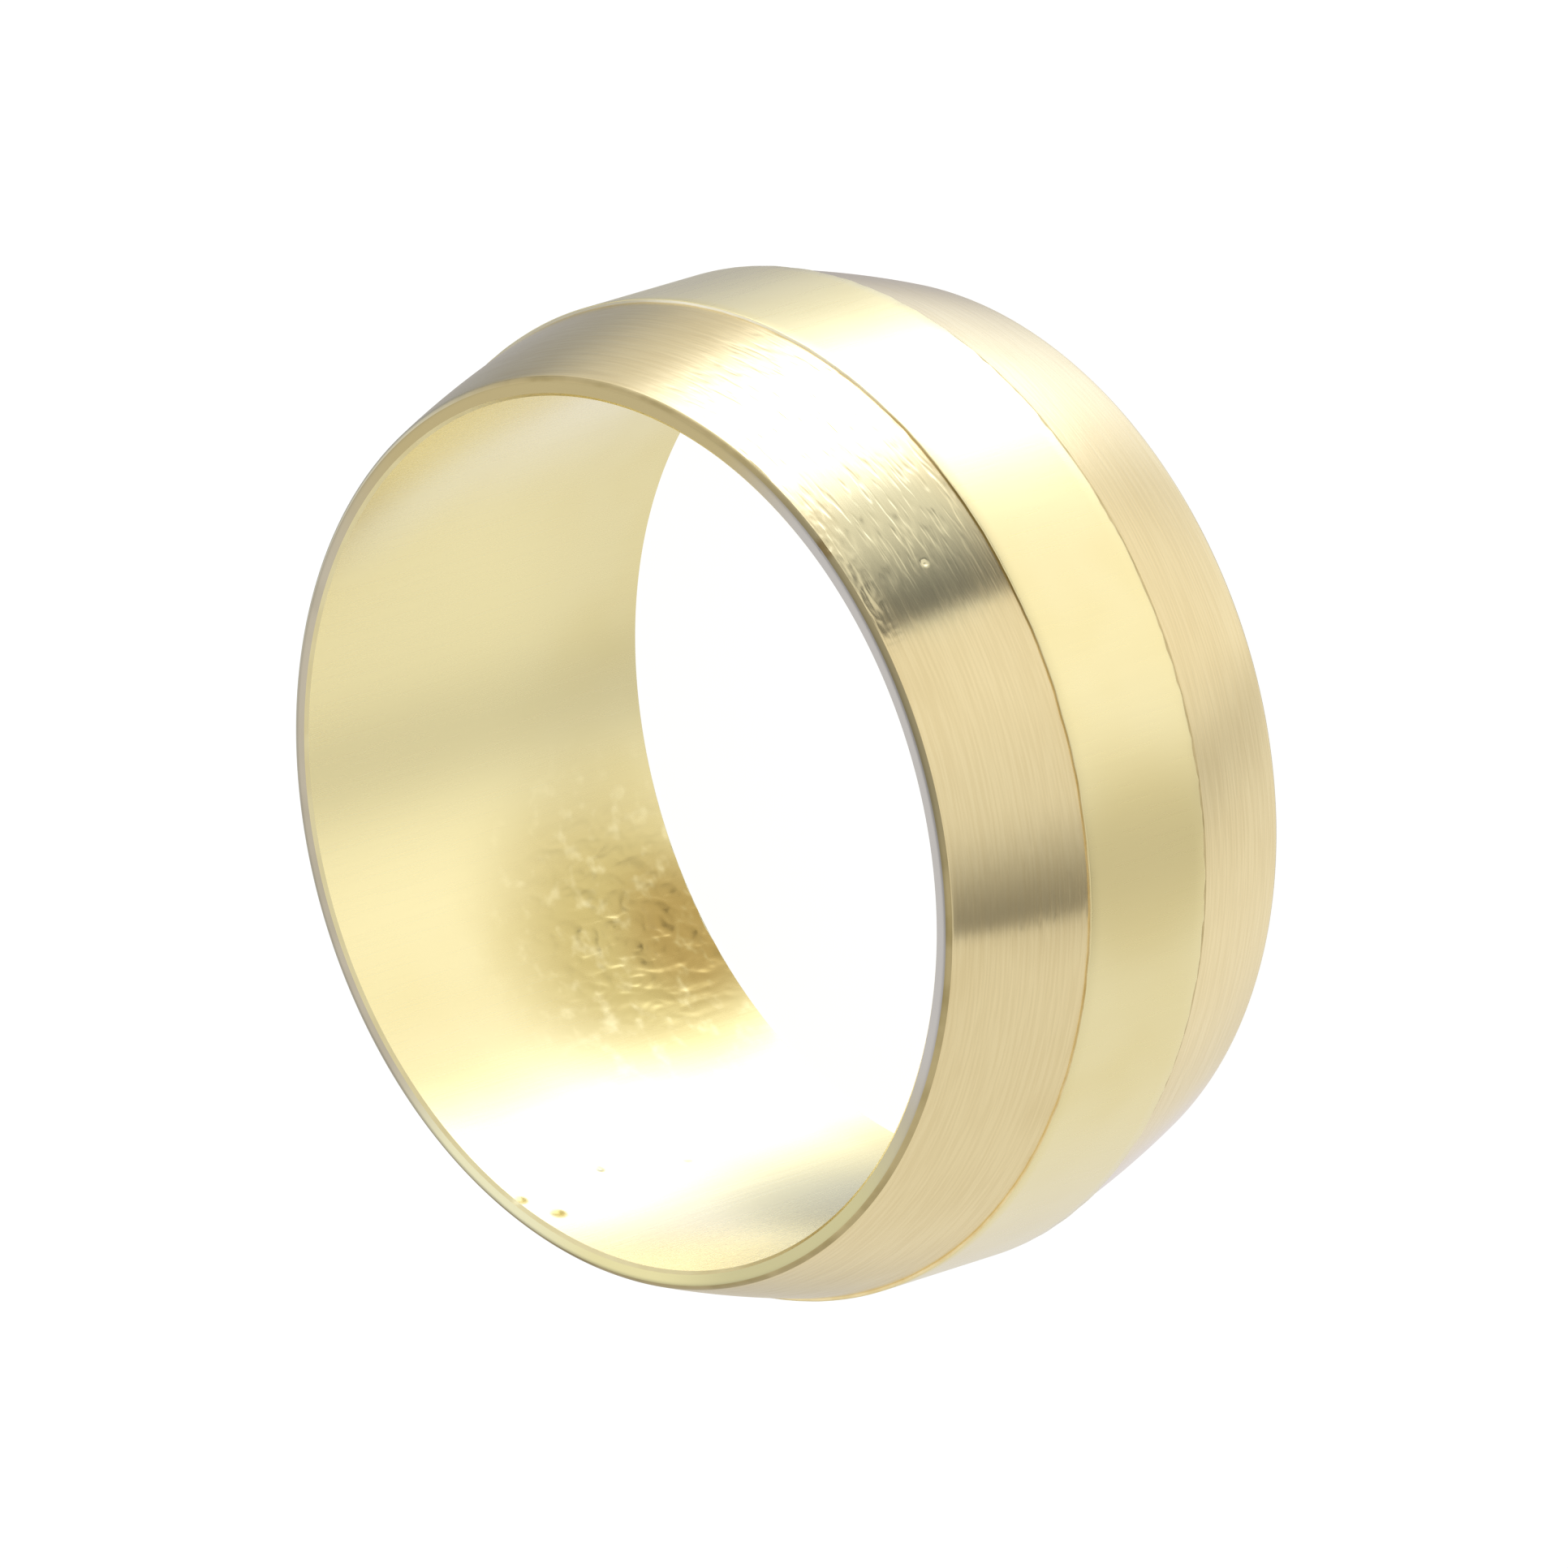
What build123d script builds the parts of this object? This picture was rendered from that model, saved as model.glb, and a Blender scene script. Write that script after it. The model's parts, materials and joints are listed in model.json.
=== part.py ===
"""Compression olive: the brass sealing ring of a compression joint, for 16 mm copper tube.

One turned ring that stands on its lower end face, with +Z along its bore.
All sizes are in millimetres.
"""

import os

from build123d import *

# Driving dimensions
tube_diameter = 16.0  # outside of the tube that the olive slides over
bore_clearance = 0.05  # gap all round between tube and bore
length = 8.4  # end face to end face
band_wall = 1.2  # wall thickness under the plain middle band
band_width = 2.9  # length of that band along the axis
end_face_width = 0.33  # radial width of each end, out to where its corner would be if left sharp
end_corner_radius = 0.2  # rounding between each end face and its flank
flank_crown = 0.05  # how far each flank bulges past a straight cone
shoulder_height = 0.06  # step that the form tool leaves between flank and band
bore_edge_break = 0.06  # deburred edge at each mouth of the bore
band_edge_radius = 0.03  # rounding on the two edges of the band

# Sizes worked out from them
bore_radius = tube_diameter / 2 + bore_clearance
band_radius = bore_radius + band_wall
end_radius = bore_radius + end_face_width
flank_top_radius = band_radius - shoulder_height
half_length = length / 2
half_band = band_width / 2

# The section is drawn from the middle plane of the ring: its x runs outward, its y up the bore
section_plane = Plane(origin=(0, 0, half_length), x_dir=(1, 0, 0), z_dir=(0, -1, 0))


# The ring, turned in one piece
with BuildPart() as olive:
    with BuildSketch(section_plane) as section:
        with BuildLine():
            # Bore and end face
            Polyline((bore_radius, 0), (bore_radius, half_length), (end_radius, half_length))
            # Crowned flank, the taper that is squeezed when the joint is tightened
            SagittaArc((end_radius, half_length), (flank_top_radius, half_band), flank_crown)
            # Shoulder and half of the plain band
            Polyline((flank_top_radius, half_band), (band_radius, half_band), (band_radius, 0))
            # The lower half is the same, turned over
            mirror(about=Plane.XZ)
        make_face()
        # Round the outer corner of each end: next after the bore, going outward
        end_corners = section.vertices().group_by(Axis.X)[1]
        fillet(end_corners, radius=end_corner_radius)
    revolve(axis=Axis.Z)

    # Break the two mouths of the bore
    bore_wall = olive.faces().filter_by(GeomType.CYLINDER).sort_by(SortBy.RADIUS)[0]
    chamfer(bore_wall.edges().filter_by(GeomType.CIRCLE), length=bore_edge_break)

    # Round the two edges of the band
    band = olive.faces().filter_by(GeomType.CYLINDER).sort_by(SortBy.RADIUS)[-1]
    fillet(band.edges().filter_by(GeomType.CIRCLE), radius=band_edge_radius)

olive.part.label = "olive"

os.makedirs("parts", exist_ok=True)
export_step(olive.part, "parts/olive.step")

print("olive volume, mm3:", round(olive.part.volume, 2))
print("olive size, mm:", olive.part.bounding_box().size)
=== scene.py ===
"""Compression olive: the finished look of the turned brass ring.

The ring stands on its lower end face with +Z along its bore. Lengths are in metres and angles in
degrees unless a name says otherwise. Round the ring, an angle of 0 is the side that faces the
camera, and angles grow towards the camera's right hand before it is rolled.
"""

from __future__ import annotations

import json
import logging
import math
from collections.abc import Callable, Iterable, Iterator
from dataclasses import dataclass, field
from enum import Enum

import bpy
from mathutils import Matrix, Vector

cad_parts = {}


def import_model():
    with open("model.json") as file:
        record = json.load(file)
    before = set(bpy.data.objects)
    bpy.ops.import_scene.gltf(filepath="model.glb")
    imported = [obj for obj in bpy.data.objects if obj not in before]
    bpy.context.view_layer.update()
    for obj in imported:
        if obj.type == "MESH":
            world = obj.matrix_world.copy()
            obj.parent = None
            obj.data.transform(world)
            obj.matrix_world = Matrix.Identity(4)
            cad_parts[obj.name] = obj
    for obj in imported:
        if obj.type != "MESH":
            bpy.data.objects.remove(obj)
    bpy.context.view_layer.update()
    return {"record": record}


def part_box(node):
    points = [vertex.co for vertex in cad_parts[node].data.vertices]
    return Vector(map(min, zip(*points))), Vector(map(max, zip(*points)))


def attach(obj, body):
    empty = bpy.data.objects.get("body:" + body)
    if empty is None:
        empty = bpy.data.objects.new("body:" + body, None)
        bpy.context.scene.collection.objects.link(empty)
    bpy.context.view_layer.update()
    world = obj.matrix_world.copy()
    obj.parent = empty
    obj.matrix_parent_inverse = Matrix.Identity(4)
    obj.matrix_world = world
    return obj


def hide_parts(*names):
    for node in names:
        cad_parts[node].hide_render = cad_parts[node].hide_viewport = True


LOG = logging.getLogger("olive")

MM = 0.001
NODE = "olive"
BODY = "root"
MERGE_DISTANCE = 0.0001 * MM
NEAR = 0.005 * MM
STRAIGHT_DOWN = -90.0
STRAIGHT_UP = 90.0

# Radii and heights that the marks, the stained patches and the patches of painted light lie at
ON_BORE = 8.05 * MM
ON_END_FACE = 8.2 * MM
ON_CORNER = 8.4 * MM
ON_SHOULDER = 9.2 * MM
TOP = 8.4 * MM
UPPER_EDGE = 5.65 * MM
LOWER_EDGE = 2.75 * MM

Colour = tuple[float, float, float]
Point = tuple[float, float]
WHITE: Colour = (1.0, 1.0, 1.0)


class Zone(Enum):
    """The surfaces of the ring, each with a finish of its own."""

    BORE = "drawn_bore"
    MOUTH = "broken_mouth"
    END = "faced_end"
    CORNER = "rounded_corner"
    FLANK = "turned_flank"
    UPPER_SHOULDER = "upper_shoulder"
    LOWER_SHOULDER = "lower_shoulder"
    BAND = "drawn_band"


class Lay(Enum):
    """The way that the fine lines of a finish run, as the share of a turn that its gloss takes."""

    ROUND = 0.25
    ALONG = 0.0


def round_the_ring(angle: float, radius: float, height: float) -> Vector:
    """Give the place at an angle round the ring.

    Args:
        angle: Degrees from the camera's side towards its right hand.
        radius: Distance from the axis.
        height: Height above the floor.

    Returns:
        The place in the ring's own frame.
    """
    turn = math.radians(angle)
    return Vector((radius * math.sin(turn), -radius * math.cos(turn), height))


def angle_of(place: Vector) -> float:
    """Give the angle round the ring of a place, from 0 to 360 degrees."""
    return math.degrees(math.atan2(place.x, -place.y)) % 360


def from_axis(place: Vector) -> float:
    """Give the distance of a place from the ring's axis."""
    return math.hypot(place.x, place.y)


class Signal:
    """A number that varies over a surface or a sky. Arithmetic on it adds Math nodes."""

    def __init__(self, bench: Bench, socket: bpy.types.NodeSocket) -> None:
        """Wrap an output socket of a node on the bench."""
        self.bench = bench
        self.socket = socket

    def _maths(self, operation: str, *values: Signal | float) -> Signal:
        """Add one Math node.

        Args:
            operation: The node's operation.
            values: Its inputs, in order.

        Returns:
            The node's result.
        """
        node = self.bench.make("ShaderNodeMath", {"operation": operation}, dict(enumerate(values)))
        return Signal(self.bench, node.outputs[0])

    def __add__(self, other: Signal | float) -> Signal:
        """Add a signal or a number."""
        return self._maths("ADD", self, other)

    __radd__ = __add__

    def __sub__(self, other: Signal | float) -> Signal:
        """Take away a signal or a number."""
        return self._maths("SUBTRACT", self, other)

    def __rsub__(self, other: float) -> Signal:
        """Take this signal away from a number."""
        return self._maths("SUBTRACT", other, self)

    def __mul__(self, other: Signal | float) -> Signal:
        """Multiply by a signal or a number."""
        return self._maths("MULTIPLY", self, other)

    __rmul__ = __mul__

    def angle_to(self, other: Signal) -> Signal:
        """Give the angle in degrees of the direction (self, other), by the two-value arctangent."""
        return self._maths("ARCTAN2", self, other) * math.degrees(1)

    def arcsine(self) -> Signal:
        """Give the arcsine in degrees."""
        return self._maths("ARCSINE", self) * math.degrees(1)

    def step(self, low: float, high: float) -> Signal:
        """Rise smoothly from 0 to 1.

        Args:
            low: Where the rise starts.
            high: Where it ends.

        Returns:
            0 below low, 1 above high, with an even slope between them.
        """
        node = self.bench.make(
            "ShaderNodeMapRange",
            {"interpolation_type": "SMOOTHSTEP"},
            {"Value": self, "From Min": low, "From Max": high},
        )
        return Signal(self.bench, node.outputs["Result"])


class Bench:
    """Makes and links the nodes of one material or world."""

    NOISE_ROUGHNESS = 0.55
    NOISE_MIDDLE = 0.5

    def __init__(self, tree: bpy.types.NodeTree) -> None:
        """Take a node tree and empty it."""
        self.tree = tree
        self.tree.nodes.clear()

    def make(
        self,
        kind: str,
        settings: dict[str, object] | None = None,
        sockets: dict[int | str, object] | None = None,
    ) -> bpy.types.Node:
        """Make a node, set it up and feed its inputs.

        Args:
            kind: The node's type name.
            settings: The node's own options.
            sockets: Values, signals or output sockets for the inputs, by name or number.

        Returns:
            The new node.
        """
        node = self.tree.nodes.new(kind)
        for name, value in (settings or {}).items():
            setattr(node, name, value)
        for name, value in (sockets or {}).items():
            if isinstance(value, Signal):
                self.tree.links.new(value.socket, node.inputs[name])
            elif isinstance(value, bpy.types.NodeSocket):
                self.tree.links.new(value, node.inputs[name])
            else:
                node.inputs[name].default_value = value
        return node

    def object_place(self) -> bpy.types.NodeSocket:
        """Give the place on the piece, in metres."""
        return self.make("ShaderNodeTexCoord").outputs["Object"]

    def noise(self, cell: tuple[float, float, float], detail: float = 2.0) -> Signal:
        """Add a noise pattern with its own size along each axis.

        Args:
            cell: Size of the pattern's cells along X, Y and Z.
            detail: How many finer layers are laid over it.

        Returns:
            The pattern, around a half.
        """
        scale = tuple(1 / size for size in cell)
        where = self.make(
            "ShaderNodeMapping", None, {"Vector": self.object_place(), "Scale": scale}
        )
        node = self.make(
            "ShaderNodeTexNoise",
            {"normalize": True},
            {
                "Vector": where.outputs[0],
                "Scale": 1.0,
                "Detail": detail,
                "Roughness": self.NOISE_ROUGHNESS,
            },
        )
        return Signal(self, node.outputs["Fac"])

    def nearness(self, centre: Vector, core: float, reach: float) -> Signal:
        """Say how near the surface is to a place.

        Args:
            centre: The place.
            core: Distance within which it counts as there.
            reach: Distance beyond which it counts as away.

        Returns:
            1 within the core, 0 beyond the reach.
        """
        node = self.make(
            "ShaderNodeVectorMath", {"operation": "DISTANCE"}, {0: self.object_place(), 1: centre}
        )
        return 1 - Signal(self, node.outputs["Value"]).step(core, reach)

    def mix(
        self,
        share: Signal,
        first: Colour | bpy.types.NodeSocket,
        second: Colour,
        how: str = "MIX",
    ) -> bpy.types.NodeSocket:
        """Mix two colours by a signal.

        Args:
            share: How much of the second colour counts.
            first: The colour at 0.
            second: The colour at 1.
            how: The Mix node's blend type.

        Returns:
            The mixed colour.
        """
        node = self.make(
            "ShaderNodeMix", {"data_type": "RGBA", "blend_type": how}, {"Factor": share}
        )
        # The colour inputs share their names with the number and vector inputs, so they go by type
        inputs = [socket for socket in node.inputs if socket.type == "RGBA"]
        for socket, colour in zip(inputs, (first, second)):
            if isinstance(colour, bpy.types.NodeSocket):
                self.tree.links.new(colour, socket)
            else:
                socket.default_value = (*colour, 1.0)
        return next(socket for socket in node.outputs if socket.type == "RGBA")


@dataclass(frozen=True)
class StainOrPaintedLight:
    """A patch of another colour on a finish, with a soft or a ragged edge. Some are real staining,
    and some are painted highlight, painted reflection or painted shade.
    """

    angle: float
    radius: float
    height: float
    core: float
    reach: float
    colour: Colour
    ragged: bool = False
    ragged_cell: float = 0.45 * MM
    ragged_low: float = 0.10
    ragged_high: float = 0.50

    def share(self, bench: Bench) -> Signal:
        """Say how far the surface lies within the patch.

        Args:
            bench: The bench that the nodes go on.

        Returns:
            1 within the core, 0 beyond the reach.
        """
        centre = round_the_ring(self.angle, self.radius, self.height)
        share = bench.nearness(centre, self.core, self.reach)
        if self.ragged:
            cells = bench.noise((self.ragged_cell,) * 3)
            share = share * cells.step(self.ragged_low, self.ragged_high)
        return share


@dataclass(frozen=True)
class CutMarks:
    """Short marks that the tool cuts along the fine lines, deepest round one place."""

    length: float
    width: float
    depth: float
    angle: float
    radius: float
    height: float
    core: float
    reach: float
    low: float = 0.46
    high: float = 0.76
    detail: float = 1.0
    share_elsewhere: float = 0.1

    def depth_at(self, bench: Bench, pattern: Signal) -> Signal:
        """Say how deep the marks are.

        Args:
            bench: The bench that the nodes go on.
            pattern: A pattern of long narrow cells, around a half.

        Returns:
            The depth at each place, in metres.
        """
        deepest = round_the_ring(self.angle, self.radius, self.height)
        near = bench.nearness(deepest, self.core, self.reach)
        depth = (self.share_elsewhere + (1 - self.share_elsewhere) * near) * self.depth
        return pattern.step(self.low, self.high) * depth


@dataclass(frozen=True)
class BrassFinish:
    """One way that the brass is finished: its colour, its gloss and the marks left by the tool."""

    name: str
    lay: Lay
    clean: Colour
    dulled: Colour
    patch_size: float = 3.0 * MM
    patch_low: float = 0.35
    patch_high: float = 0.75
    roughness: float = 0.25
    roughness_swing: float = 0.06
    anisotropy: float = 0.0
    line_length: float = 1.5 * MM
    line_width: float = 0.05 * MM
    line_depth: float = 0.0
    line_detail: float = 3.0
    line_tint: float = 0.0
    tint_low: float = 0.35
    tint_high: float = 0.65
    cut_marks: CutMarks | None = None
    grain_size: float = 0.05 * MM
    grain_depth: float = 0.0
    grain_detail: float = 1.0
    stains_and_painted_light: tuple[StainOrPaintedLight, ...] = ()

    def _lines(self, bench: Bench, length: float, width: float, detail: float) -> Signal:
        """Add a pattern of long narrow cells that run the way of the finish.

        Args:
            bench: The bench that the nodes go on.
            length: Length of a cell.
            width: Its width.
            detail: How many finer layers are laid over it.

        Returns:
            The pattern, around a half.
        """
        if self.lay is Lay.ROUND:
            return bench.noise((length, length, width), detail)
        return bench.noise((width, width, length), detail)

    def _relief(self, bench: Bench, lines: Signal) -> Signal:
        """Give the relief of the fine lines, the cut marks and the grain.

        Args:
            bench: The bench that the nodes go on.
            lines: The pattern of the fine lines.

        Returns:
            The height at each place, in metres.
        """
        relief = lines * self.line_depth
        marks = self.cut_marks
        if marks:
            pattern = self._lines(bench, marks.length, marks.width, marks.detail)
            relief = relief - marks.depth_at(bench, pattern)
        if self.grain_depth:
            grain = bench.noise((self.grain_size,) * 3, self.grain_detail)
            relief = relief + grain * self.grain_depth
        return relief

    def _colour(self, bench: Bench, lines: Signal) -> bpy.types.NodeSocket:
        """Give the colour, with its duller patches, its stained patches and its patches of painted
        light.

        Args:
            bench: The bench that the nodes go on.
            lines: The pattern of the fine lines.

        Returns:
            The colour at each place.
        """
        dullness = bench.noise((self.patch_size,) * 3).step(self.patch_low, self.patch_high)
        if self.line_tint:
            tint = lines.step(self.tint_low, self.tint_high)
            dullness = dullness * (1 - self.line_tint) + tint * self.line_tint
        colour = bench.mix(dullness, self.clean, self.dulled)
        for stain_or_light in self.stains_and_painted_light:
            colour = bench.mix(stain_or_light.share(bench), colour, stain_or_light.colour)
        return colour

    def material(self) -> bpy.types.Material:
        """Make the finish as a material.

        Returns:
            The node material.
        """
        material = bpy.data.materials.new(self.name)
        material.use_nodes = True
        bench = Bench(material.node_tree)
        lines = self._lines(bench, self.line_length, self.line_width, self.line_detail)
        gloss = self.roughness + (lines - Bench.NOISE_MIDDLE) * self.roughness_swing
        bump = bench.make(
            "ShaderNodeBump",
            None,
            {"Height": self._relief(bench, lines), "Distance": 1.0, "Strength": 1.0},
        )
        shader = bench.make(
            "ShaderNodeBsdfPrincipled",
            None,
            {
                "Base Color": self._colour(bench, lines),
                "Metallic": 1.0,
                "Roughness": gloss,
                "Anisotropic": self.anisotropy,
                "Anisotropic Rotation": self.lay.value,
                "Normal": bump.outputs["Normal"],
            },
        )
        bench.make("ShaderNodeOutputMaterial", None, {"Surface": shader.outputs[0]})
        return material


FINISHES: dict[Zone, BrassFinish] = {
    Zone.BORE: BrassFinish(
        name="drawn_bore",
        lay=Lay.ALONG,
        clean=(0.93, 0.82, 0.46),
        dulled=(0.90, 0.78, 0.41),
        roughness=0.27,
        anisotropy=0.5,
        line_length=2.5 * MM,
        line_width=0.08 * MM,
        line_depth=0.0006 * MM,
        grain_depth=0.0003 * MM,
        stains_and_painted_light=(
            # Paler stretches on both sides: painted highlight near the upper mouth, and painted
            # brighter reflection lower down
            StainOrPaintedLight(150, ON_BORE, 6.5 * MM, 2.5 * MM, 6.0 * MM, (1.00, 0.885, 0.49)),
            StainOrPaintedLight(100, ON_BORE, 4.8 * MM, 1.5 * MM, 4.5 * MM, (1.00, 0.90, 0.56)),
            StainOrPaintedLight(112, ON_BORE, 8.1 * MM, 1.5 * MM, 3.5 * MM, (1.00, 0.92, 0.60)),
            StainOrPaintedLight(256, ON_BORE, 7.8 * MM, 2.0 * MM, 6.0 * MM, (0.99, 0.93, 0.70)),
            # Greyer stretch low down
            StainOrPaintedLight(252, ON_BORE, 3.2 * MM, 0.8 * MM, 3.0 * MM, (0.80, 0.74, 0.48)),
            # Brown patch by the lower mouth, and its darkest part
            StainOrPaintedLight(194, ON_BORE, 1.8 * MM, 1.0 * MM, 4.3 * MM, (0.61, 0.49, 0.19), True),
            StainOrPaintedLight(195, ON_BORE, 0.6 * MM, 0.5 * MM, 2.1 * MM, (0.46, 0.32, 0.10), True),
            # Darker brown in the pits
            StainOrPaintedLight(230.5, ON_BORE, 7.9 * MM, 0.05 * MM, 0.24 * MM, (0.58, 0.47, 0.16)),
            StainOrPaintedLight(226, ON_BORE, 8.25 * MM, 0.04 * MM, 0.22 * MM, (0.62, 0.52, 0.22)),
            StainOrPaintedLight(225, ON_BORE, 6.1 * MM, 0.03 * MM, 0.16 * MM, (0.52, 0.48, 0.30)),
        ),
    ),
    Zone.MOUTH: BrassFinish(
        name="broken_mouth",
        lay=Lay.ROUND,
        clean=(0.90, 0.80, 0.47),
        dulled=(0.82, 0.71, 0.39),
        patch_size=1.0 * MM,
        roughness=0.32,
    ),
    Zone.END: BrassFinish(
        name="faced_end",
        lay=Lay.ROUND,
        clean=(0.52, 0.465, 0.36),
        dulled=(0.46, 0.41, 0.31),
        patch_size=1.2 * MM,
        roughness=0.30,
        line_depth=0.001 * MM,
        # Stretches of another colour round the end face: painted darker reflection in brown, grey
        # and olive at 78, 355 and 270 degrees, and painted highlight at 240 and 221 degrees where
        # the face is blown out
        stains_and_painted_light=(
            StainOrPaintedLight(78, ON_END_FACE, TOP, 4.0 * MM, 8.0 * MM, (0.50, 0.41, 0.21)),
            StainOrPaintedLight(355, ON_END_FACE, TOP, 4.6 * MM, 7.2 * MM, (0.52, 0.495, 0.47)),
            StainOrPaintedLight(270, ON_END_FACE, TOP, 3.0 * MM, 6.5 * MM, (0.60, 0.55, 0.30)),
            StainOrPaintedLight(240, ON_END_FACE, TOP, 1.5 * MM, 4.0 * MM, (0.80, 0.73, 0.39)),
            StainOrPaintedLight(221, ON_END_FACE, TOP, 0.8 * MM, 3.2 * MM, (0.83, 0.79, 0.52)),
        ),
    ),
    # The corner's dark colour is a painted dark line round each end: painted shade where the lower
    # end meets the floor, and painted dark reflection round the upper end. The darker stretch at 12
    # degrees and the painted shade in the nick at 27 deepen it, and the pale stretch at 150 is
    # painted lighter reflection where the far corner meets the white ground
    Zone.CORNER: BrassFinish(
        name="rounded_corner",
        lay=Lay.ROUND,
        clean=(0.58, 0.47, 0.24),
        dulled=(0.44, 0.35, 0.16),
        patch_size=0.8 * MM,
        roughness=0.34,
        line_depth=0.002 * MM,
        stains_and_painted_light=(
            StainOrPaintedLight(12, ON_CORNER, TOP, 2.5 * MM, 5.0 * MM, (0.38, 0.32, 0.18)),
            StainOrPaintedLight(27, ON_CORNER, 8.33 * MM, 0.10 * MM, 0.30 * MM, (0.27, 0.20, 0.09)),
            StainOrPaintedLight(150, ON_CORNER, TOP, 6.0 * MM, 9.5 * MM, (0.75, 0.69, 0.50)),
        ),
    ),
    Zone.FLANK: BrassFinish(
        name="turned_flank",
        lay=Lay.ROUND,
        clean=(0.93, 0.775, 0.445),
        dulled=(0.835, 0.675, 0.365),
        roughness=0.20,
        anisotropy=0.88,
        line_depth=0.0035 * MM,
        line_tint=0.5,
        cut_marks=CutMarks(
            length=0.7 * MM,
            width=0.11 * MM,
            depth=0.011 * MM,
            angle=40,
            radius=8.8 * MM,
            height=7.0 * MM,
            core=2.2 * MM,
            reach=3.6 * MM,
        ),
        # Greyer beside the cut marks
        stains_and_painted_light=(StainOrPaintedLight(24, 8.83 * MM, 7.04 * MM, 0.8 * MM, 2.3 * MM, (0.82, 0.74, 0.46)),),
    ),
    Zone.UPPER_SHOULDER: BrassFinish(
        name="upper_shoulder",
        lay=Lay.ROUND,
        clean=(0.92, 0.77, 0.45),
        dulled=(0.79, 0.63, 0.31),
        patch_size=0.5 * MM,
        roughness=0.42,
        stains_and_painted_light=(
            # Painted shade of the step beside the cut marks, then a bright stretch of painted
            # highlight where the blown highlight hides the line, and a grey stretch
            StainOrPaintedLight(20, ON_SHOULDER, UPPER_EDGE, 0.8 * MM, 2.8 * MM, (0.34, 0.26, 0.10)),
            StainOrPaintedLight(62, ON_SHOULDER, UPPER_EDGE, 2.0 * MM, 4.6 * MM, (0.97, 0.93, 0.78)),
            StainOrPaintedLight(102, ON_SHOULDER, UPPER_EDGE, 3.0 * MM, 5.0 * MM, (0.54, 0.50, 0.38)),
        ),
    ),
    # The lower shoulder and the strip of flank just below it are darker, a painted shadow line
    # under the band's lower edge; the pale stretch at 80 degrees makes it fade there
    Zone.LOWER_SHOULDER: BrassFinish(
        name="lower_shoulder",
        lay=Lay.ROUND,
        clean=(0.70, 0.56, 0.28),
        dulled=(0.52, 0.41, 0.18),
        patch_size=0.5 * MM,
        roughness=0.42,
        stains_and_painted_light=(StainOrPaintedLight(80, ON_SHOULDER, LOWER_EDGE, 2.0 * MM, 6.0 * MM, (0.80, 0.76, 0.62)),),
    ),
    Zone.BAND: BrassFinish(
        name="drawn_band",
        lay=Lay.ALONG,
        clean=(0.945, 0.83, 0.47),
        dulled=(0.915, 0.79, 0.42),
        roughness=0.28,
        anisotropy=0.5,
        line_length=1.6 * MM,
        line_width=0.10 * MM,
        line_depth=0.001 * MM,
        grain_depth=0.0004 * MM,
        # Darker stretch on the camera's left, a painted darker reflection of the dark flag there
        stains_and_painted_light=(StainOrPaintedLight(340, 9.25 * MM, 4.2 * MM, 1.0 * MM, 2.8 * MM, (0.86, 0.73, 0.37)),),
    ),
}


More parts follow.
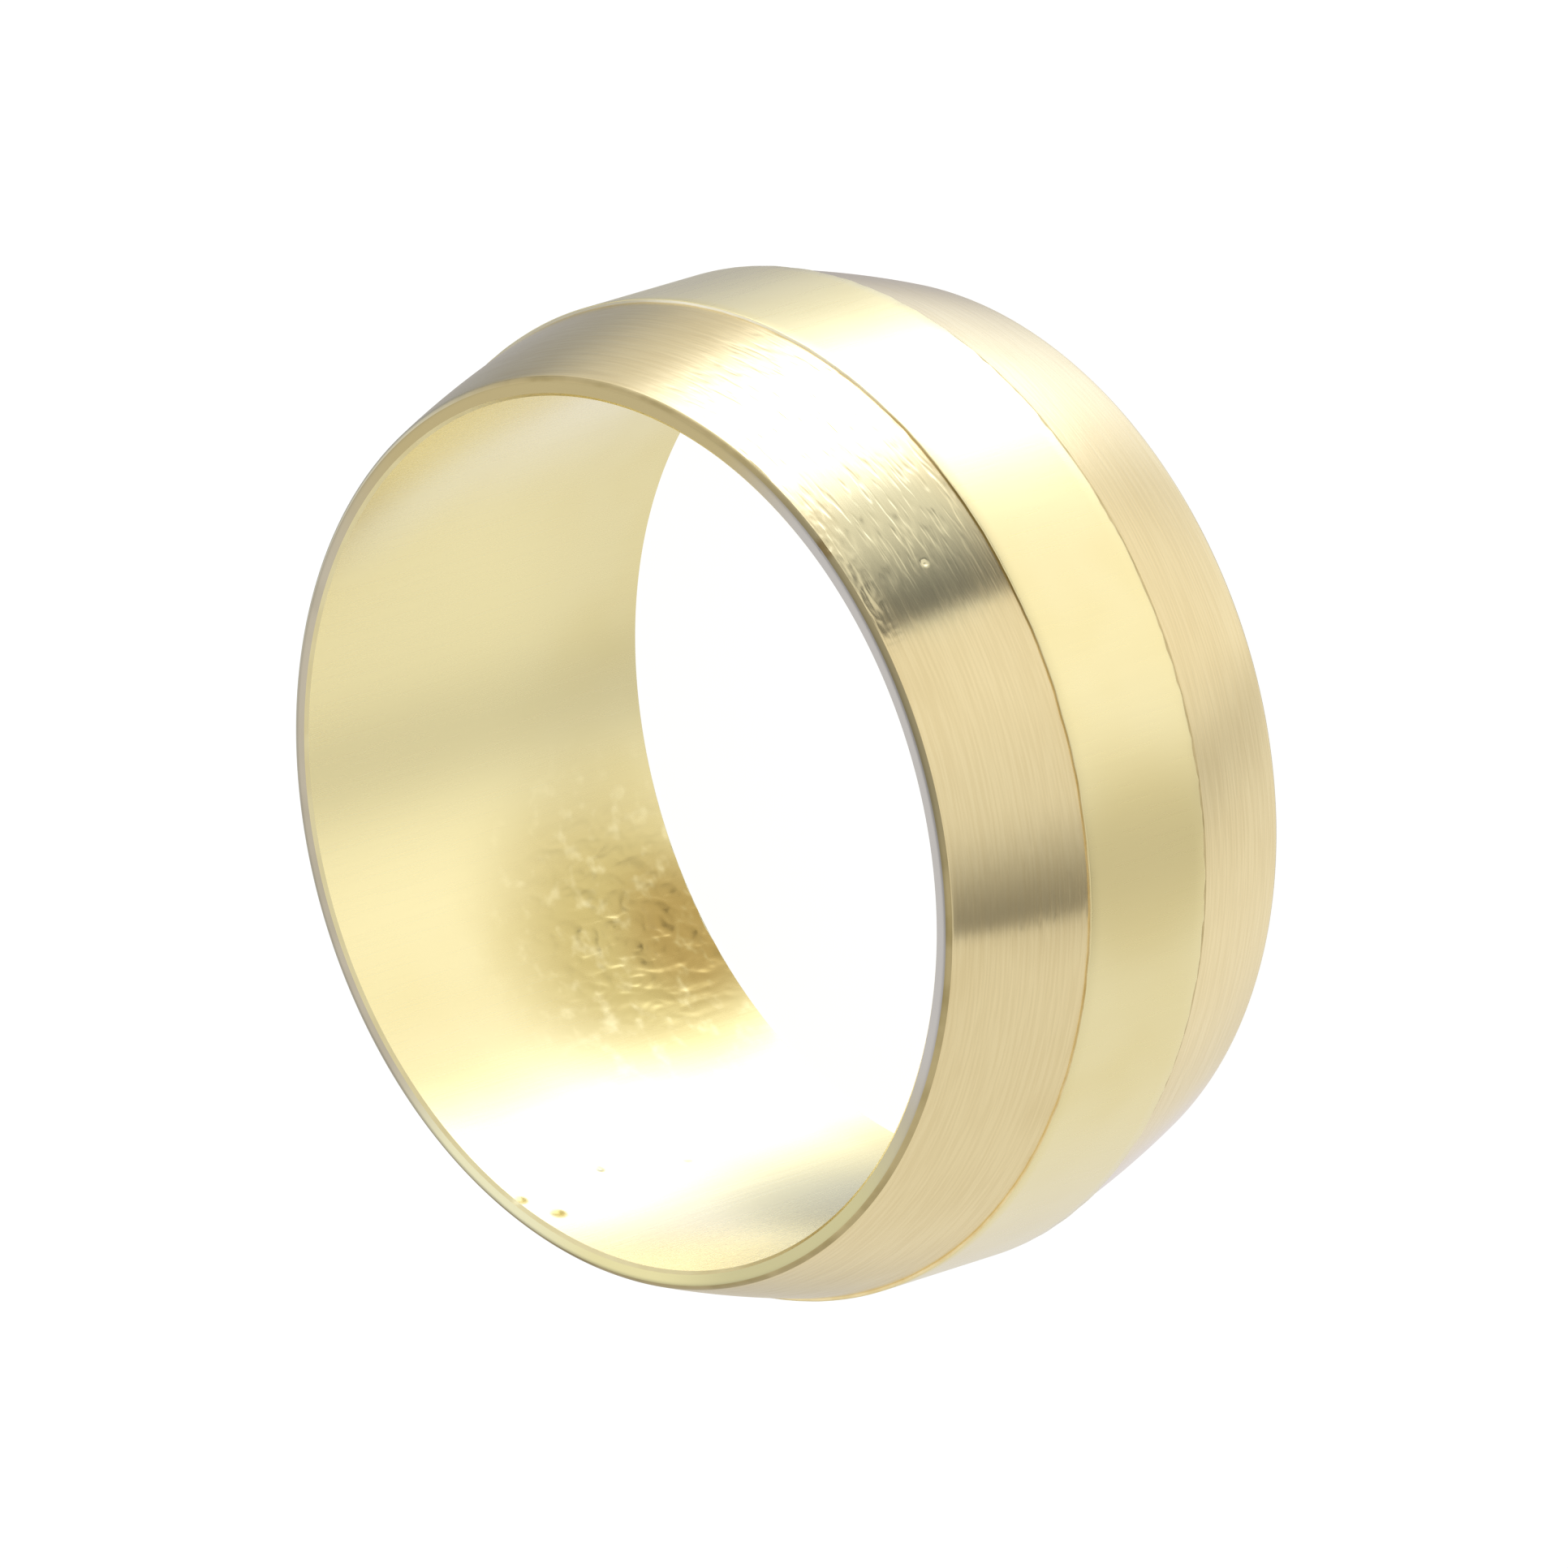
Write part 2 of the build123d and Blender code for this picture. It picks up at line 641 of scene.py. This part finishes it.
@dataclass
class Section:
    """The section of the ring's wall, drawn as radius and height."""

    bore_radius: float
    band_radius: float
    length: float
    band_width: float = 2.9 * MM
    end_face_width: float = 0.33 * MM
    end_corner_radius: float = 0.2 * MM
    flank_crown: float = 0.05 * MM
    shoulder_height: float = 0.06 * MM
    bore_edge_break: float = 0.06 * MM
    band_edge_radius: float = 0.03 * MM
    bright_rim_depth: float = 0.02 * MM
    dark_line_depth: float = 0.10 * MM
    shadow_line_height: float = 0.11 * MM
    bore_steps: int = 24
    end_steps: int = 2
    corner_steps: int = 6
    flank_steps: int = 24
    foot_steps: int = 2
    edge_steps: int = 3
    band_steps: int = 6

    @staticmethod
    def _straight(start: Point, end: Point, steps: int) -> Iterator[Point]:
        """Give the points of a straight stretch after its start.

        Args:
            start: Radius and height of its start, which isn't given again.
            end: Radius and height of its end.
            steps: How many parts it has.

        Yields:
            The radius and height of each point.
        """
        for step in range(1, steps + 1):
            place = Vector(start).lerp(Vector(end), step / steps)
            yield place.x, place.y

    @staticmethod
    def _arc(start: Point, end: Point, centre: Point, steps: int) -> Iterator[Point]:
        """Give the points of an arc after its start, by the short way round.

        Args:
            start: Radius and height of its start, which isn't given again.
            end: Radius and height of its end.
            centre: Radius and height of its centre.
            steps: How many parts it has.

        Yields:
            The radius and height of each point.
        """
        middle = Vector(centre)
        spoke = Vector(start) - middle
        turn = -spoke.angle_signed(Vector(end) - middle)
        for step in range(1, steps + 1):
            share = turn * step / steps
            place = middle + Matrix.Rotation(share, 2) @ spoke
            yield place.x, place.y

    def flank_circle(self) -> tuple[Vector, float]:
        """Find the circle that the crowned flank lies on, above the middle of the ring.

        Returns:
            Its centre and its radius.
        """
        start = Vector((self.bore_radius + self.end_face_width, self.length / 2))
        end = Vector((self.band_radius - self.shoulder_height, self.band_width / 2))
        chord = end - start
        outward = Vector((-chord.y, chord.x)).normalized()
        rise = self.flank_crown
        radius = (chord.length**2 / 4 + rise**2) / (2 * rise)
        return (start + end) / 2 - outward * (radius - rise), radius

    def corner(self) -> tuple[Point, Point, Point]:
        """Find the arc between the upper end face and its flank.

        Returns:
            Its start on the end face, its end on the flank, and its centre.
        """
        flank_centre, flank_radius = self.flank_circle()
        rounding = self.end_corner_radius
        height = self.length / 2 - rounding
        inner = flank_radius - rounding
        reach = math.sqrt(inner**2 - (height - flank_centre.y) ** 2)
        centre = Vector((flank_centre.x + reach, height))
        touch = flank_centre + (centre - flank_centre) * (flank_radius / inner)
        return (centre.x, self.length / 2), (touch.x, touch.y), (centre.x, centre.y)

    def flank_point(self, height: float) -> Point:
        """Give the place on the upper flank at a height above the middle of the ring."""
        centre, radius = self.flank_circle()
        return centre.x + math.sqrt(radius**2 - (height - centre.y) ** 2), height

    def points(self) -> list[Point]:
        """Walk once round the section, from the middle of the bore up and over and back.

        Returns:
            The radius and height of each point. The last is the first again.
        """
        half, bore, band = self.length / 2, self.bore_radius, self.band_radius
        edge, shoulder = self.band_edge_radius, self.band_width / 2
        corner_start, corner_end, corner_centre = self.corner()
        flank_centre = tuple(self.flank_circle()[0])
        flank_foot = self.flank_point(shoulder + self.shadow_line_height)
        stops: list[tuple[Point, Point | None, int]] = [
            ((bore, half - self.bore_edge_break), None, self.bore_steps),
            ((bore + self.bore_edge_break, half), None, 1),
            (corner_start, None, self.end_steps),
            (corner_end, corner_centre, self.corner_steps),
            (flank_foot, flank_centre, self.flank_steps),
            ((band - self.shoulder_height, shoulder), flank_centre, self.foot_steps),
            ((band - edge, shoulder), None, 1),
            ((band, shoulder - edge), (band - edge, shoulder - edge), self.edge_steps),
            ((band, 0), None, self.band_steps),
        ]
        upper: list[Point] = [(bore, 0)]
        for end, centre, steps in stops:
            if centre:
                upper.extend(self._arc(upper[-1], end, centre, steps))
            else:
                upper.extend(self._straight(upper[-1], end, steps))
        lower = [(radius, -height) for radius, height in reversed(upper[:-1])]
        return [(radius, height + half) for radius, height in upper + lower]

    def zone_at(self, radius: float, height: float) -> Zone:
        """Say which surface a place on the section lies on.

        Args:
            radius: Distance from the axis.
            height: Height above the floor.

        Returns:
            The surface.
        """
        from_end = min(height, self.length - height)
        above_middle = height - self.length / 2
        from_shoulder = abs(above_middle) - self.band_width / 2
        if radius < self.bore_radius + NEAR:
            return Zone.BORE
        if radius < self.bore_radius + self.bore_edge_break:
            return Zone.MOUTH
        if from_end < self.bright_rim_depth:
            return Zone.END
        # The corner's finish paints a dark line of shade round each end
        if from_end < self.dark_line_depth:
            return Zone.CORNER
        if abs(from_shoulder) < NEAR:
            return Zone.UPPER_SHOULDER if above_middle > 0 else Zone.LOWER_SHOULDER
        # Painted shadow line on the flank just below the band's lower edge
        if above_middle < 0 and 0 < from_shoulder < self.shadow_line_height:
            return Zone.LOWER_SHOULDER
        if radius > self.band_radius - self.band_edge_radius:
            return Zone.BAND
        return Zone.FLANK


@dataclass(frozen=True)
class Dent:
    """A small nick or pit, pressed into the metal."""

    angle: float
    radius: float
    height: float
    size: float
    depth: float

    def away(self, place: Vector) -> float:
        """Give the distance of a place from the middle of the dent."""
        return (place - round_the_ring(self.angle, self.radius, self.height)).length

    def depth_at(self, place: Vector) -> float:
        """Give the depth of the dent at a place, a smooth bowl with nothing outside its size."""
        share = min(1.0, self.away(place) / self.size)
        return self.depth * (1 - share**2) ** 2


@dataclass(frozen=True)
class RoughPatch:
    """A patch of uneven pits, pressed into the metal."""

    name: str
    angle: float
    radius: float
    height: float
    half_angle: float
    half_height: float
    half_thickness: float
    across: float
    along: float
    depth: float
    fade_power: float = 1.5

    def weight_at(self, place: Vector) -> float:
        """Say how strongly the patch marks a place.

        Args:
            place: The place in the ring's frame.

        Returns:
            1 in the middle of the patch, 0 outside it.
        """
        if abs(from_axis(place) - self.radius) > self.half_thickness:
            return 0.0
        aside = (angle_of(place) - self.angle) / self.half_angle
        above = (place.z - self.height) / self.half_height
        return max(0.0, 1 - math.hypot(aside, above) ** 2) ** self.fade_power


@dataclass(frozen=True)
class Wear:
    """The marks of making and handling on the ring, as shapes."""

    dents: tuple[Dent, ...] = (
        # Pits near the upper mouth of the bore
        Dent(230.5, ON_BORE, 7.9 * MM, 0.20 * MM, 0.022 * MM),
        Dent(226, 8.06 * MM, 8.25 * MM, 0.17 * MM, 0.018 * MM),
        Dent(225, ON_BORE, 6.1 * MM, 0.12 * MM, 0.02 * MM),
        Dent(225.5, ON_BORE, 5.5 * MM, 0.12 * MM, 0.012 * MM),
        Dent(228, ON_BORE, 4.3 * MM, 0.14 * MM, 0.012 * MM),
        # Nick on the outer corner of the upper end
        Dent(27, ON_CORNER, 8.33 * MM, 0.15 * MM, 0.018 * MM),
        # Speck on the upper flank
        Dent(20, 8.85 * MM, 6.92 * MM, 0.08 * MM, 0.028 * MM),
    )
    patches: tuple[RoughPatch, ...] = (
        RoughPatch(
            name="bore_pits", angle=191, radius=ON_BORE, height=1.7 * MM,
            half_angle=17.5, half_height=3.2 * MM, half_thickness=0.03 * MM,
            across=0.36 * MM, along=0.70 * MM, depth=0.05 * MM,
        ),
        RoughPatch(
            name="corner_nicks", angle=23, radius=8.45 * MM, height=8.15 * MM,
            half_angle=13, half_height=0.24 * MM, half_thickness=0.14 * MM,
            across=0.50 * MM, along=0.14 * MM, depth=0.022 * MM,
        ),
    )
    shoulder_swing: float = 0.11 * MM
    shoulder_cell: float = 0.35 * MM
    shoulder_reach: float = 0.12 * MM
    upper_shoulder_share: float = 0.3
    pit_contrast: float = 1.4
    dent_margin: float = 0.16 * MM
    cuts: int = 3

    @property
    def deepest(self) -> float:
        """The depth of the deepest dent."""
        return max(dent.depth for dent in self.dents)

    def _is_marked(self, place: Vector) -> bool:
        """Say whether a place lies in a rough patch or by a dent.

        Args:
            place: The place in the ring's frame.

        Returns:
            True where the mesh has to be fine.
        """
        if any(patch.weight_at(place) > 0 for patch in self.patches):
            return True
        return any(dent.away(place) < dent.size + self.dent_margin for dent in self.dents)

    def _dent_weight(self, place: Vector) -> float:
        """Give the depth of the dents at a place, as a share of the deepest."""
        return max(dent.depth_at(place) for dent in self.dents) / self.deepest

    def _shoulder_weight(self, section: Section, place: Vector) -> float:
        """Say how strongly the uneven run of the band's edges moves a place.

        Args:
            section: The ring's section.
            place: The place in the ring's frame.

        Returns:
            1 at the lower edge, upper_shoulder_share at the upper one, and 0 beyond their reach.
        """
        middle = section.length / 2
        if from_axis(place) < section.bore_radius + section.end_face_width:
            return 0.0
        away = abs(abs(place.z - middle) - section.band_width / 2) / self.shoulder_reach
        weight = max(0.0, 1 - away)
        return weight if place.z < middle else weight * self.upper_shoulder_share

    @staticmethod
    def _select_faces(ring: bpy.types.Object, wanted: Callable[[Vector], bool]) -> None:
        """Select the faces whose centres are wanted, and nothing else.

        Args:
            ring: The ring, in object mode.
            wanted: Says whether a face with this centre is wanted.
        """
        bpy.ops.object.mode_set(mode="EDIT")
        bpy.ops.mesh.select_mode(type="FACE")
        bpy.ops.mesh.select_all(action="DESELECT")
        bpy.ops.object.mode_set(mode="OBJECT")
        for face in ring.data.polygons:
            face.select = wanted(face.center)

    def _divide(self, ring: bpy.types.Object, wanted: Callable[[Vector], bool]) -> None:
        """Divide the wanted faces finely, on a smooth surface.

        Args:
            ring: The ring, in object mode.
            wanted: Says whether a face with this centre is wanted.
        """
        self._select_faces(ring, wanted)
        bpy.ops.object.mode_set(mode="EDIT")
        bpy.ops.mesh.subdivide(number_cuts=self.cuts, smoothness=0.0)
        bpy.ops.object.mode_set(mode="OBJECT")

    @staticmethod
    def _group(
        ring: bpy.types.Object, name: str, weight_at: Callable[[Vector], float]
    ) -> bpy.types.VertexGroup:
        """Make a vertex group from a weight at each place.

        Args:
            ring: The ring, in object mode.
            name: The group's name.
            weight_at: Gives the weight at a place.

        Returns:
            The group, without the vertices of no weight.
        """
        group = ring.vertex_groups.new(name=name)
        for vertex in ring.data.vertices:
            weight = weight_at(vertex.co)
            if weight > 0:
                group.add([vertex.index], min(1.0, weight), "REPLACE")
        return group

    @staticmethod
    def _modify(
        ring: bpy.types.Object, kind: str, group: bpy.types.VertexGroup, **settings: object
    ) -> None:
        """Apply one modifier to a vertex group.

        Args:
            ring: The ring, in object mode.
            kind: The modifier's type.
            group: The vertices that it moves.
            settings: The modifier's own options.
        """
        modifier = ring.modifiers.new(kind.lower(), kind)
        modifier.vertex_group = group.name
        for name, value in settings.items():
            setattr(modifier, name, value)
        bpy.ops.object.modifier_apply(modifier=modifier.name)

    def _fine_mesh(self, ring: bpy.types.Object, section: Section) -> None:
        """Make the mesh fine where the wear is.

        Args:
            ring: The ring, in object mode.
            section: The ring's section.
        """
        self._divide(ring, self._is_marked)
        limit = section.bore_radius + MERGE_DISTANCE
        wall = self._group(ring, "bore_wall", lambda place: float(from_axis(place) < limit))
        self._modify(
            ring,
            "CAST",
            wall,
            cast_type="CYLINDER",
            factor=1.0,
            use_radius_as_size=False,
            size=section.bore_radius,
            use_x=True,
            use_y=True,
            use_z=False,
        )

    def _press_dents(self, ring: bpy.types.Object) -> None:
        """Press the nicks and pits into the metal."""
        group = self._group(ring, "dents", self._dent_weight)
        self._modify(
            ring, "DISPLACE", group, strength=-self.deepest, mid_level=0.0, direction="NORMAL"
        )

    def _roughen(self, ring: bpy.types.Object, patch: RoughPatch) -> None:
        """Roughen a patch, always into the metal.

        Args:
            ring: The ring, in object mode.
            patch: The patch.
        """
        group = self._group(ring, patch.name, patch.weight_at)
        texture = bpy.data.textures.new(patch.name, "CLOUDS")
        texture.noise_scale = 1.0
        texture.noise_depth = 1
        texture.noise_type = "HARD_NOISE"
        texture.contrast = self.pit_contrast
        ruler = bpy.data.objects.new(f"{patch.name}_ruler", None)
        bpy.context.scene.collection.objects.link(ruler)
        ruler.scale = (patch.across, patch.across, patch.along)
        bpy.context.view_layer.update()
        self._modify(
            ring,
            "DISPLACE",
            group,
            texture=texture,
            texture_coords="OBJECT",
            texture_coords_object=ruler,
            strength=-patch.depth,
            mid_level=0.0,
            direction="NORMAL",
        )
        bpy.data.objects.remove(ruler)

    def _ruffle_shoulders(self, ring: bpy.types.Object, section: Section) -> None:
        """Make the edges of the band run slightly uneven.

        Args:
            ring: The ring, in object mode.
            section: The ring's section.
        """
        group = self._group(
            ring, "shoulders", lambda place: self._shoulder_weight(section, place)
        )
        texture = bpy.data.textures.new("ruffle", "CLOUDS")
        texture.noise_scale = self.shoulder_cell
        texture.noise_depth = 1
        self._modify(
            ring,
            "DISPLACE",
            group,
            texture=texture,
            texture_coords="LOCAL",
            strength=self.shoulder_swing,
            mid_level=0.5,
            direction="Z",
        )

    def mark(self, ring: bpy.types.Object, section: Section) -> None:
        """Put all the marks on the ring.

        Args:
            ring: The ring, in object mode.
            section: The ring's section.
        """
        self._fine_mesh(ring, section)
        self._ruffle_shoulders(ring, section)
        for patch in self.patches:
            self._roughen(ring, patch)
        self._press_dents(ring)
        ring.vertex_groups.clear()


@dataclass
class Ring:
    """The olive itself: one turned ring, made by spinning its section round the bore's axis."""

    section: Section
    steps_round: int = 384
    sharp_angle: float = 38.0
    finishes: dict[Zone, BrassFinish] = field(default_factory=lambda: FINISHES)
    wear: Wear = field(default_factory=Wear)

    @classmethod
    def from_frame(cls, record: dict) -> Ring:
        """Take the sizes that the frame states.

        Args:
            record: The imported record.

        Returns:
            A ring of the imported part's size.
        """
        low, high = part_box(NODE)
        bore = next(mount for mount in record["mounts"] if mount["kind"] == "bore")
        section = Section(
            bore_radius=bore["dims"]["r_mm"] * MM,
            band_radius=(high.x - low.x) / 2,
            length=high.z - low.z,
        )
        return cls(section)

    @staticmethod
    def _draw(points: Iterable[Point]) -> None:
        """Draw a chain of edges in the XZ plane, in edit mode, from one vertex at the origin.

        Args:
            points: The radius and height of each point.
        """
        here = (0.0, 0.0)
        for number, point in enumerate(points):
            move = (point[0] - here[0], 0.0, point[1] - here[1])
            if number == 0:
                bpy.ops.transform.translate(value=move)
            else:
                bpy.ops.mesh.extrude_region_move(TRANSFORM_OT_translate={"value": move})
            here = point

    def _spin(self) -> bpy.types.Object:
        """Draw the section and spin it into a closed ring.

        Returns:
            The ring's object, at the origin.
        """
        bpy.ops.object.select_all(action="DESELECT")
        bpy.ops.mesh.primitive_plane_add(size=self.section.length)
        ring = bpy.context.object
        bpy.ops.object.mode_set(mode="EDIT")
        bpy.ops.mesh.merge(type="CENTER")
        self._draw(self.section.points())
        bpy.ops.mesh.select_all(action="SELECT")
        bpy.ops.mesh.remove_doubles(threshold=MERGE_DISTANCE)
        bpy.ops.mesh.spin(
            steps=self.steps_round,
            angle=math.tau,
            center=(0, 0, 0),
            axis=(0, 0, 1),
            use_auto_merge=True,
        )
        bpy.ops.mesh.select_all(action="SELECT")
        bpy.ops.mesh.remove_doubles(threshold=MERGE_DISTANCE)
        bpy.ops.mesh.normals_make_consistent(inside=False)
        bpy.ops.object.mode_set(mode="OBJECT")
        return ring

    def _dress(self, ring: bpy.types.Object) -> None:
        """Give each surface its finish.

        Args:
            ring: The ring, in object mode.
        """
        zones = list(self.finishes)
        for zone in zones:
            ring.data.materials.append(self.finishes[zone].material())
        for face in ring.data.polygons:
            zone = self.section.zone_at(from_axis(face.center), face.center.z)
            face.material_index = zones.index(zone)

    def build(self) -> bpy.types.Object:
        """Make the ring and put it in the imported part's place.

        Returns:
            The finished ring.
        """
        ring = self._spin()
        ring.name = ring.data.name = "olive_ring"
        self._dress(ring)
        bpy.ops.object.shade_smooth_by_angle(angle=math.radians(self.sharp_angle))
        self.wear.mark(ring, self.section)
        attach(ring, BODY)
        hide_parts(NODE)
        return ring


@dataclass(frozen=True)
class Panel:
    """A brighter, darker or tinted stretch of the white tent that stands round the ring."""

    start: float
    end: float
    level: float
    start_fade: float = 10.0
    end_fade: float = 10.0
    low: float = STRAIGHT_DOWN
    high: float = STRAIGHT_UP
    height_fade: float = 16.0
    tint: Colour = WHITE

    def share(self, angle: Signal, rise: Signal) -> Signal:
        """Say how far a direction lies within the panel.

        Args:
            angle: The direction's angle round the ring.
            rise: Its angle above the horizon.

        Returns:
            1 within the panel, 0 outside, with its fades between.
        """
        inside = angle.step(self.start - self.start_fade / 2, self.start + self.start_fade / 2)
        past = angle.step(self.end - self.end_fade / 2, self.end + self.end_fade / 2)
        share = inside * (1 - past)
        half_fade = self.height_fade / 2
        if self.low > STRAIGHT_DOWN:
            share = share * rise.step(self.low - half_fade, self.low + half_fade)
        if self.high < STRAIGHT_UP:
            share = share * (1 - rise.step(self.high - half_fade, self.high + half_fade))
        return share


COOL: Colour = (0.95, 1.02, 1.20)
COLD: Colour = (0.98, 1.02, 1.30)


@dataclass(frozen=True)
class Studio:
    """The pale floor and the white light tent, with its bright and dark panels.

    The tent's panels are placed by their angle round the ring, from tent_seam to a turn past it.
    """

    floor_size: float = 4.0
    floor_colour: Colour = (0.16, 0.16, 0.16)
    floor_glow: float = 0.94
    wall_level: float = 0.79
    tent_seam: float = -110.0
    panels: tuple[Panel, ...] = (
        # Dim ceiling
        Panel(start=-130, end=270, level=0.6, low=66, height_fade=20),
        # White table all round, brighter in front
        Panel(start=-130, end=270, level=1.08, high=-34),
        Panel(start=-8, end=60, level=1.17, start_fade=34, high=30, height_fade=24),
        Panel(start=-26, end=54, level=1.13, start_fade=12, end_fade=24, low=-60, high=-26),
        # Brighter table on the camera's left, in two parts that meet at the tent's seam
        Panel(start=-130, end=-86, level=1.08, end_fade=16, high=-54, height_fade=10),
        Panel(start=226, end=270, level=1.08, start_fade=20, high=-54, height_fade=10),
        # Large softbox, which leaves the blown highlight, and its glow on the table
        Panel(
            start=61, end=99, level=3.4, start_fade=22, end_fade=28,
            low=-57, high=14, height_fade=20, tint=COOL,
        ),
        Panel(
            start=96, end=146, level=1.34, start_fade=20, end_fade=26, high=-46, height_fade=20,
            tint=COOL,
        ),
        # Dark flags near the horizon, left and right of the camera
        Panel(
            start=24, end=39, level=0.10, start_fade=4, end_fade=24,
            low=-26, high=6, height_fade=10, tint=COOL,
        ),
        Panel(
            start=-43, end=-30, level=0.28, start_fade=3, end_fade=26,
            low=-26, high=12, height_fade=14,
        ),
        Panel(
            start=-50, end=-24, level=0.76, start_fade=14, end_fade=16,
            high=-20, height_fade=14,
        ),
        # Brighter wall high up behind the ring, which the upper end face mirrors
        Panel(start=130, end=230, level=1.35, start_fade=30, end_fade=30, low=28, high=66),
        # Grey wall behind the ring
        Panel(
            start=124, end=183, level=0.46, start_fade=34, end_fade=20, low=-38, high=-8, tint=COOL,
        ),
        Panel(
            start=138, end=183, level=0.50, start_fade=40, end_fade=24, low=-50, high=-38,
            tint=COLD,
        ),
        Panel(
            start=183, end=212, level=0.66, start_fade=20, end_fade=44, low=-38, high=28,
        ),
        Panel(
            start=183, end=240, level=1.0, start_fade=20, end_fade=60, low=-48, high=-41,
            height_fade=8, tint=COLD,
        ),
    )

    def lay_floor(self) -> bpy.types.Object:
        """Lay the floor under the ring, a pale table that glows a little.

        Returns:
            The floor, which the brass doesn't mirror.
        """
        bpy.ops.object.select_all(action="DESELECT")
        bpy.ops.mesh.primitive_plane_add(size=self.floor_size)
        floor = bpy.context.object
        floor.name = floor.data.name = "studio_floor"
        material = bpy.data.materials.new("pale_floor")
        material.use_nodes = True
        bench = Bench(material.node_tree)
        paint = bench.make("ShaderNodeBsdfDiffuse", None, {"Color": (*self.floor_colour, 1.0)})
        glow = bench.make(
            "ShaderNodeEmission", None, {"Color": (*WHITE, 1.0), "Strength": self.floor_glow}
        )
        both = bench.make("ShaderNodeAddShader", None, {0: paint.outputs[0], 1: glow.outputs[0]})
        bench.make("ShaderNodeOutputMaterial", None, {"Surface": both.outputs[0]})
        floor.data.materials.append(material)
        floor.visible_glossy = False
        return floor

    def _angle_round(self, east: Signal, north: Signal) -> Signal:
        """Give a direction's angle round the ring, counted on from the tent's seam.

        Args:
            east: The direction's X part.
            north: Its Y part.

        Returns:
            The angle in degrees, from tent_seam to a turn past it.
        """
        middle = self.tent_seam + 180
        side, ahead = math.sin(math.radians(middle)), math.cos(math.radians(middle))
        across = east * ahead + north * side
        forward = east * side - north * ahead
        return across.angle_to(forward) + middle

    def hang_tent(self) -> None:
        """Light the scene from the tent round it, which shows plain white to the camera."""
        world = bpy.data.worlds.new("light_tent")
        bpy.context.scene.world = world
        world.use_nodes = True
        bench = Bench(world.node_tree)
        way = bench.make("ShaderNodeTexCoord").outputs["Generated"]
        parts = bench.make("ShaderNodeSeparateXYZ", None, {0: way})
        east, north, up = (Signal(bench, socket) for socket in parts.outputs)
        angle = self._angle_round(east, north)
        rise = up.arcsine()
        light: Colour | bpy.types.NodeSocket = (self.wall_level,) * 3
        for panel in self.panels:
            level = tuple(panel.level * part for part in panel.tint)
            light = bench.mix(panel.share(angle, rise), light, level, "MULTIPLY")
        tent = bench.make("ShaderNodeBackground", None, {"Color": light, "Strength": 1.0})
        plain = bench.make("ShaderNodeBackground", None, {"Color": (*WHITE, 1.0), "Strength": 1.0})
        rays = bench.make("ShaderNodeLightPath").outputs["Is Camera Ray"]
        both = bench.make(
            "ShaderNodeMixShader", None, {0: rays, 1: tent.outputs[0], 2: plain.outputs[0]}
        )
        bench.make("ShaderNodeOutputWorld", None, {"Surface": both.outputs[0]})

    def build(self) -> None:
        """Set up the floor, the light and plain colour handling."""
        self.lay_floor()
        self.hang_tent()
        bpy.context.scene.view_settings.view_transform = "Standard"


@dataclass(frozen=True)
class Viewpoint:
    """The camera, at the photograph's angle to the ring."""

    elevation: float = 41.99
    roll: float = 106.98
    bore_radii_away: float = 80.0
    lens_mm: float = 820.0
    sensor_mm: float = 36.0
    nearest: float = 0.01
    farthest: float = 10.0

    def build(self, section: Section) -> bpy.types.Object:
        """Set up the camera.

        Args:
            section: The section of the ring that it looks at.

        Returns:
            The camera, which is the scene's own.
        """
        rise = math.radians(self.elevation)
        back = Vector((0.0, -math.cos(rise), math.sin(rise)))
        target = Vector((0.0, 0.0, section.length / 2))
        data = bpy.data.cameras.new("camera")
        data.sensor_width = self.sensor_mm
        data.lens = self.lens_mm
        camera = bpy.data.objects.new("camera", data)
        bpy.context.scene.collection.objects.link(camera)
        level = (-back).to_track_quat("-Z", "Y").to_matrix().to_4x4()
        rolled = level @ Matrix.Rotation(math.radians(-self.roll), 4, "Z")
        distance = self.bore_radii_away * section.bore_radius
        camera.matrix_world = Matrix.Translation(target + back * distance) @ rolled
        data.clip_start = self.nearest
        data.clip_end = self.farthest
        bpy.context.scene.camera = camera
        return camera


def main() -> None:
    """Build the ring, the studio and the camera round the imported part."""
    logging.basicConfig(level=logging.INFO, format="%(name)s: %(message)s")
    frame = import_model()
    ring = Ring.from_frame(frame["record"])
    piece = ring.build()
    LOG.info("%s has %d faces", piece.name, len(piece.data.polygons))
    Studio().build()
    Viewpoint().build(ring.section)


if __name__ == "__main__":
    main()
